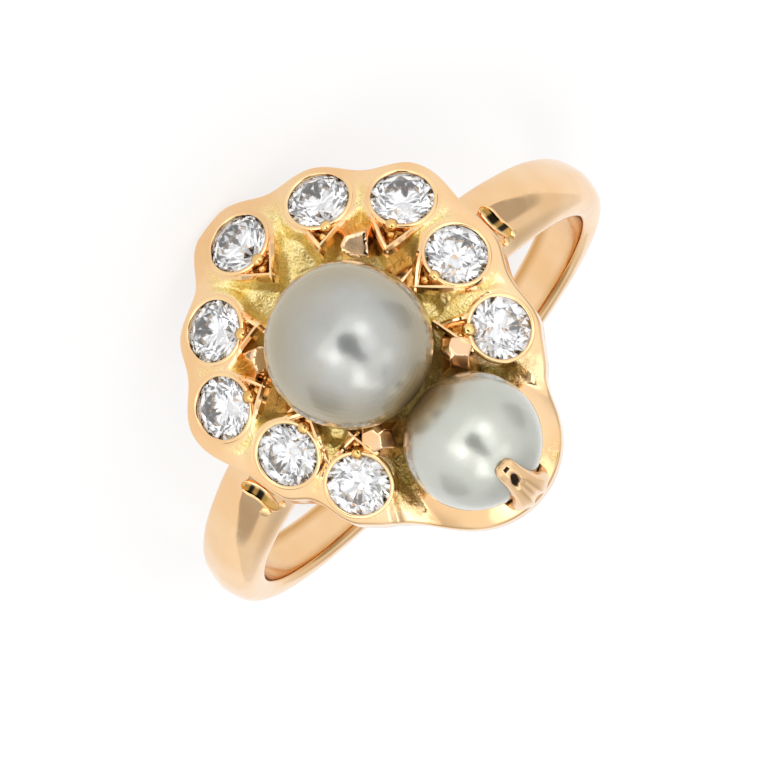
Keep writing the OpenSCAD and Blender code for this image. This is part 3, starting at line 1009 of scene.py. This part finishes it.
RIDGE_STEPS = 18
RIDGE_BEGINS_BEFORE = 0.22
share = np.linspace(0.0, 1, RIDGE_STEPS)
heights = 0.12 * smooth(0, 0.3, share) * (1 - 0.5 * smooth(0.85, 1, share)) + 0.005
jitter = np.random.default_rng(11)
ridges = []
for stone in range(len(stones)):
    toward = np.array([*to_pearl[stone], 0])
    across = np.array([-to_pearl[stone, 1], to_pearl[stone, 0], 0])
    centre = [*stone_xy[stone], 0]
    starts, tip = ridge_ends(stone)
    tip = centre + tip @ [toward, across]
    for hand, start in zip((-1, 1), starts):
        start = centre + start @ [toward, across]
        heading = unit(tip - start)
        end = tip + heading * (0.10 + 0.24 * jitter.random())
        begin = start - heading * RIDGE_BEGINS_BEFORE
        plan = begin + (end - begin) * share[:, None]
        plan = plan + across * hand * 0.05 * np.sin(np.pi * share)[:, None]
        shell = np.sqrt(DOME_R ** 2 - plan[:, 0] ** 2 - plan[:, 1] ** 2)
        below = np.clip(shell - head_top(plan[:, 0], plan[:, 1])[0], 0.0, 0.7)
        level = shell - 0.03 - 0.5 * smooth(0.1, 1.0, share) * below
        lean = unit(unit(plan + [0, 0, DOME_R]) - 0.25 * hand * across)
        widths = 0.22 - 0.05 * share + 0.03 * np.sin(7 * share + stone)
        ridges.append(strip(np.column_stack([plan[:, :2], level]), lean, widths, heights, 0.3))
make_piece("bright_ridges", *joined(ridges), ridge_gold, "gold", angle=20)


def bead(centre, axis, radius, flat, rings_count=10, sides=16):
    """A small ball, flattened along an axis, with closed poles."""
    axes = np.array([*side_axes(axis), flat * axis])
    return centre + radius * ball_rays(rings_count, sides) @ axes, ball_faces(rings_count, sides)


GRAIN_SINK = 0.07
FOOT_SINK = 0.30
grains = []
for stone, axis in enumerate(stones):
    toward = np.array([*to_pearl[stone], 0])
    toward = unit(toward - axis * (toward @ axis))
    aside = 0.16 * (jitter.random() - 0.5) * np.cross(axis, toward)
    centre = axis * (DOME_R - GRAIN_SINK) + (SEAT_R - 0.02) * (toward + aside)
    grains.append(bead(centre, axis, 0.21 + 0.05 * jitter.random(), 0.7))
    centre = axis * (DOME_R - FOOT_SINK) + (SEAT_R + 0.24) * unit(toward - aside)
    grains.append(bead(centre, axis, 0.15, 0.9, 7, 12))
make_piece("grains", *joined(grains), grain_gold, "gold")

# %% [markdown]
# Where the band meets the head, a short channel runs along the seam on each side. It has two
# bright lips. Its floor is painted amber, a painted reflection of gold on gold, and a little
# darker as painted shade; two holes in it are only painted nearly black, as painted shade.
# Two melted beads of solder lie at its front end.

# %% Add the seams at the shoulders
SEAM_STEPS = 40
SEAM_FRONT = -1.0
SEAM_REAR = 0.42
SEAM_OUT = 0.34
SEAM_SHAPE = np.array([
    (-0.25, -0.15), (-0.25, 0.02), (-0.235, 0.08), (-0.20, 0.11), (-0.165, 0.09), (-0.14, 0.03),
    (-0.10, 0.02), (0.0, 0.015), (0.08, 0.02), (0.12, 0.03), (0.145, 0.09), (0.18, 0.12),
    (0.215, 0.09), (0.24, 0.02), (0.24, -0.15),
])
SAMPLE_TURNS = np.arange(28, 80)
SAMPLE_PLACES = np.linspace(-1.3, 1.3, 131)


def outside_reach(row):
    """Distance from the hole's axis of the band's outside, over even places across one section."""
    outer = row[row[:, 1].argmax():row[:, 1].argmin() + 1][::-1]
    return np.interp(SAMPLE_PLACES, outer[:, 1], np.hypot(outer[:, 0], outer[:, 2]))


band_reach = np.array([outside_reach(band_grid[step]) for step in SAMPLE_TURNS])


def on_band(x, y):
    """Level of the band's outside over a place in plan, near the head.

    The distance from the hole's axis is read between four samples of the band, and the turn
    follows from it; a few rounds settle both."""
    x, y = np.broadcast_arrays(np.abs(x), y)
    turn = np.full(x.shape, 34.0)
    place_step = SAMPLE_PLACES[1] - SAMPLE_PLACES[0]
    across = np.clip((y - SAMPLE_PLACES[0]) / place_step, 0, len(SAMPLE_PLACES) - 1.001)
    for _ in range(8):
        along = np.clip(turn * BAND_STEPS / 360 - SAMPLE_TURNS[0], 0, len(SAMPLE_TURNS) - 1.001)
        i, j = along.astype(int), across.astype(int)
        u, v = along - i, across - j
        near, far = (band_reach[k, j] * (1 - v) + band_reach[k, j + 1] * v for k in (i, i + 1))
        reach = near * (1 - u) + far * u
        turn = np.degrees(np.arcsin(np.clip(x / reach, 0, 0.95)))
    return np.cos(np.radians(turn)) * reach


def seam(side, holes_at):
    """A channel along the head's wall on one side, with two masks: painted shade for its holes and floor,
    and its floor, which takes a painted amber reflection.

    Each hole is a share of the way along and half its own length."""
    share = np.linspace(0, 1, SEAM_STEPS)[:, None]
    aside, rise = SEAM_SHAPE.T[:, None]
    y = SEAM_REAR + (SEAM_FRONT - SEAM_REAR) * share + 0 * aside
    turn = np.degrees(np.arctan2(-side * 6.0, y))
    narrow = np.sqrt(np.clip(1.02 - np.abs(2 * share - 1) ** 4, 0, 1))
    offset = SEAM_OUT + aside * narrow + 0.03 * np.sin(9 * share)
    x = side * (np.sqrt(np.maximum(head_edge(turn) ** 2 - y ** 2, 0)) + offset)
    taper = 0.35 + 0.65 * smooth(0, 0.1, share) * smooth(1, 0.9, share)
    level = on_band(x, y) + rise * np.where(rise > 0, taper, 1)
    floor = smooth(0.18, 0.15, np.abs(aside)) + 0 * share
    holes = sum(smooth(half, half * 0.6, np.abs(share - at)) for at, half in holes_at)
    # Painted shade: the floor a tenth of the way to nearly black, the holes almost all the way; no hole is
    # cut
    dark = floor * np.clip(0.10 + 0.9 * holes, 0, 1)
    return *capped(np.stack([x, y, level], -1)), dark.ravel(), floor.ravel()


seams = [seam(1, [(0.40, 0.16), (0.70, 0.08)]), seam(-1, [(0.28, 0.07), (0.52, 0.10)])]
# Melted beads of solder: side, distance from the axis, place across the band, size
NUGGETS = [
    (1, 6.00, -0.94, 0.20), (1, 6.39, -0.86, 0.16), (-1, 6.60, -0.70, 0.22), (-1, 6.05, -1.00, 0.18),
]
nuggets = []
for side, x, y, radius in NUGGETS:
    normal = unit([side * 0.6, -0.35, 0.72])
    nuggets.append(bead(np.array([side * x, y, on_band(x, y)]), normal, radius, 0.7, 4, 6))
blank = [np.zeros(len(part[0])) for part in nuggets]
dark, floor = (np.concatenate([part[k] for part in seams] + blank) for k in (2, 3))
# The floor takes the painted amber reflection; the holes and the floor take painted shade
make_piece("shoulder_seams", *joined([part[:2] for part in seams] + nuggets), ridge_gold, "gold",
           {"hole": dark, "amber": floor}, angle=25)

# %% [markdown]
# ## The claws
#
# Four short claws stand beside the large pearl. They were cut with a graver, so every one is
# a small block of flat facets. A longer claw rises from the rim of the bowl and bends over
# the small pearl; a groove runs up its back and ends in a drill mark, a shallow dimple painted
# nearly black as painted shade.

# %% Build the four short claws
CLAW_BALL = (44, 64)
CRISPNESS = 40


def faceted(centre, axes, planes):
    """A block bounded by flat planes, as a closed ball of points pulled onto them.

    Each plane is a direction in the block's own axes and its distance from the centre. The
    distance of a point is one over the largest share of direction by distance. The high
    CRISPNESS keeps the edges sharp and still breaks them a little, as wear does."""
    rays = ball_rays(*CLAW_BALL)
    planes = np.asarray(planes, float)
    facing = np.maximum(rays @ unit(planes[:, :3]).T / planes[:, 3], 1e-6)
    reach = (facing ** CRISPNESS).sum(1) ** (-1 / CRISPNESS)
    return centre + (rays * reach[:, None]) @ axes, ball_faces(*CLAW_BALL)


FLAT_TOP = [
    (1, 0.1, 0.10, 0.50), (-1, 0.05, 0.16, 0.46), (0.1, 1, 0.12, 0.52), (-0.05, -1, 0.12, 0.50),
    (0.12, -0.06, 1, 0.84), (0.9, 0.9, 0.3, 0.60), (-0.9, 0.8, 0.6, 0.66), (0, 0, -1, 1.0),
]
CUT_END = [
    (0.72, -0.42, 1, 0.50), (0.05, 0.30, 1, 0.60), (0.25, 1, 0.25, 0.52), (0.75, 0.80, 0.75, 0.50),
    (-0.45, 0.85, 0.75, 0.52), (-1, 0.15, 0.30, 0.44), (1, 0.1, 0.0, 0.50), (-0.15, -1, 0.3, 0.52),
    (-0.6, -0.5, 1, 0.56), (0, 0, -1, 1.0),
]
CUT_END_LEFT = [(front, -side, up, away) for front, side, up, away in CUT_END]
# Claws: turn round the head, distance from its axis, lean to the pearl, shape, the way they
# face in plan, size
CLAWS = [
    (-48, 3.66, 16, FLAT_TOP, (0.5, 0.6, 0), 1.12),
    (52, 3.70, 12, FLAT_TOP, (0.8, -0.3, 0), 1.0),
    (-146, 3.52, 8, CUT_END_LEFT, (0.56, -0.83, 0), 1.16),
    (143, 3.45, 8, CUT_END, (-0.60, -0.80, 0), 1.16),
]
CLAW_MIDDLE = np.array([0, 0, FINGER_R + 2.25])
claws = []
for turn, away, lean, planes, facing, size in CLAWS:
    angle, slope = math.radians(turn), math.tan(math.radians(lean))
    outward = np.array([-math.sin(angle), math.cos(angle), 0])
    up = unit([0, 0, 1] - slope * outward)
    front = unit(facing - up * (facing @ up))
    axes = np.array([front, np.cross(up, front), up])
    claws.append(faceted(CLAW_MIDDLE + outward * (away - slope * 0.85), axes * size, planes))
make_piece("short_claws", *joined(claws), claw_gold, "gold", angle=28)

# %% Build the long claw
LONG_STEPS = 96
LONG_SIDES = 91
DRILL_MARK_OVER = 55
# Rows: angle over the small pearl, half the width, height above the pearl
LONG_OVER, LONG_HALF_WIDTH, LONG_HEIGHT = np.array([
    (128, 0.94, 0.72), (118, 0.92, 0.68), (104, 0.82, 0.62), (90, 0.68, 0.56), (76, 0.54, 0.50),
    (60, 0.44, 0.44), (50, 0.41, 0.38), (45, 0.38, 0.33), (42.5, 0.32, 0.27), (41, 0.24, 0.19),
    (40.3, 0.13, 0.09),
]).T
CLAW_SECTION = np.array([
    (-1.0, 0.0), (-0.99, 0.34), (-0.88, 0.62), (-0.45, 0.93), (-0.34, 1.0), (0.34, 1.0),
    (0.45, 0.93), (0.88, 0.62), (0.99, 0.34), (1.0, 0.0), (0.0, -0.10),
])


def long_claw_surface(steps, sides):
    """The claw over the small pearl: angle over the pearl by place round its section."""
    foot, tip = LONG_OVER[[0, -1]]
    over = foot - (foot - tip) * np.sin(np.linspace(0, math.pi / 2, steps))[:, None]
    place, share = evenly(CLAW_SECTION, sides).T[:, None]
    side = place * np.interp(-over, -LONG_OVER, LONG_HALF_WIDTH)
    on_back = smooth(0.6, 0.9, share)
    hole_along = (over - DRILL_MARK_OVER) / 6.0 + side / 0.34
    hole_across = (side + 0.07) / 0.19
    dimple = np.exp(-(hole_along ** 2 + hole_across ** 2) ** 2 * 1.2) * on_back
    groove = smooth(57, 66, over) * np.exp(-(side / (0.13 + 0.0022 * (over - 57))) ** 2)
    rise = share * np.interp(-over, -LONG_OVER, LONG_HEIGHT) - 0.16 * dimple - 0.15 * groove * on_back
    away = small_r + 0.03 + rise
    angle = np.radians(over)
    y, z = small_at[1] - np.sin(angle) * away, small_at[2] + np.cos(angle) * away
    return np.stack([small_at[0] + side, y, z], -1), dimple


long_grid, dimple = long_claw_surface(LONG_STEPS, LONG_SIDES)
# The drill mark's dimple is painted nearly black: painted shade
make_piece("long_claw", *capped(long_grid), band_gold, "gold",
           {"hole": smooth(0.25, 0.7, dimple).ravel()}, angle=22)

# %% [markdown]
# ## The pearls
#
# Neither pearl is a perfect ball. The large one is a silvery grey and a little flattened on one
# side; round the edge that it shows to the camera it is painted warmer and darker, as painted
# reflection of the gold and painted shade. The small one is a grey green with a pink sheen; where
# it faces its neighbour it is painted warm and darker, as painted reflection of the gold and
# painted shade. Fine growth lines run round both.

# %% Make the pearls
tree, place = effect("nacre_cloud", {"Cloud": "Float", "Veil": "Float", "Height": "Float"})
nacre_cloud = hand_out(tree, {
    "Cloud": speckle(tree, place, 2.2, 2.0),
    "Veil": speckle(tree, place, 0.45, 5.0),
    "Height": speckle(tree, place, 0.05, 3.0),
})
PEARL_BALL = (120, 180)
GROWTH_LINES = 72


def nacre(name, body, veil, overtone, warm):
    """A pearl's skin: a cloudy body colour, flecks of an overtone, a warm side that is painted reflection
    and painted shade, a soft gloss.
    """
    material, tree, shader = principled(name, {
        "Metallic": 0.55, "Roughness": 0.20, "Specular IOR Level": 0.8,
        "Coat Weight": 0.9, "Coat Roughness": 0.09, "Coat IOR": 1.5,
    })
    cloud = use_effect(tree, nacre_cloud)
    specks = rescale(tree, cloud["Veil"], 0.45, 0.75, 0, 0.35)
    skin = blend(tree, specks, two_toned(tree, cloud["Cloud"], body, veil), overtone)
    # Painted reflection and painted shade: the warm colour where the pearl's mask says
    set_inputs(tree, shader, {
        "Base Color": blend(tree, point_mask(tree, "painted_reflection_shade"), skin, warm),
        "Normal": bump(tree, cloud["Height"], 0.009, 0.5),
    })
    return material


def pearl_surface(rays, at, radius, flat, seed, wobble):
    """A slightly uneven ball, from pole to pole by turn.

    A flattening along one direction is taken off the radius. Soft noise and fine growth
    lines change it a little more."""
    direction, depth, power = flat
    off = depth * np.clip(rays @ unit(direction), 0, 1) ** power
    soft = noise(rays, 0.55, seed) * wobble + noise(rays, 0.2, seed + 1) * wobble * 0.2
    from_top = np.degrees(np.arccos(np.clip(rays @ unit([0, -0.2, 0.98]), -1, 1)))
    toward_zenith = smooth(-0.2, 0.7, rays @ np.array([0.0, -1.0, 0.0]))
    lines = np.sin(np.radians(from_top * GROWTH_LINES) + 3 * noise(rays, 0.5, seed + 2))
    soft = soft + lines * wobble * 0.16 * toward_zenith * smooth(25, 50, from_top)
    return at + rays * (radius - off + soft)[:, None]


def painted_reflection_shade(rays, direction, start, full, amount):
    """How much painted reflection and painted shade a pearl's skin takes: an S-curve of how far each point
    faces a direction.
    """
    facing = rays @ unit(direction)
    return {"painted_reflection_shade": amount * smooth(start, full, facing + 0.10 * noise(rays, 0.5, 41))}


# The warm colours are painted reflection of the gold, darker as painted shade
grey_nacre = nacre("grey_nacre", body=(0.365, 0.378, 0.366), veil=(0.415, 0.42, 0.40),
                   overtone=(0.36, 0.33, 0.29), warm=(0.33, 0.26, 0.125))
green_nacre = nacre("green_nacre", body=(0.46, 0.48, 0.41), veil=(0.51, 0.525, 0.47),
                    overtone=(0.50, 0.44, 0.42), warm=(0.36, 0.22, 0.085))
pearl_rays, pearl_faces = ball_rays(*PEARL_BALL), ball_faces(*PEARL_BALL)
points = pearl_surface(pearl_rays, large_at, large_r + 0.02, ((0.95, 0.15, 0.15), 0.11, 7), 21, 0.022)
large = make_piece("grey_pearl", points, pearl_faces, grey_nacre, "large_pearl",
                   painted_reflection_shade(pearl_rays, (0.0, -0.2, 0.98), 1.0, 0.3, 0.9))
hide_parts("large_pearl")
points = pearl_surface(pearl_rays, small_at, small_r, ((0.3, 0.8, 0.5), 0.03, 4), 31, 0.006)
small = make_piece("green_pearl", points, pearl_faces, green_nacre, "small_pearl",
                   painted_reflection_shade(pearl_rays, (0.0, 1.0, 0.1), 0.30, 0.98, 0.95))
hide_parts("small_pearl")

# %% [markdown]
# ## The diamonds
#
# The nine brilliants stay exactly as modelled, 73 flat facets each. They only need a glass
# that bends light as much as diamond does.

# %% Give the diamonds their glass
diamond_glass, _, _ = principled("diamond_glass", {
    "Base Color": (0.76, 0.765, 0.78, 1), "Metallic": 0.0, "Roughness": 0.07, "IOR": 2.42,
    "Transmission Weight": 1.0,
})
for number in range(1, 10):
    stone = frame["nodes"][f"diamond_{number}"]
    stone.data.materials.clear()
    stone.data.materials.append(diamond_glass)
print("diamonds:", number)

# %% [markdown]
# ## Size and finish
#
# The view transform is set to Standard, and the solid model's size, measured at the start,
# is printed once more.

# %% Write the sizes down and finish
bpy.context.scene.view_settings.view_transform = "Standard"
print("solid", [tuple(round(c * 1000, 2) for c in v) for v in solid_box])
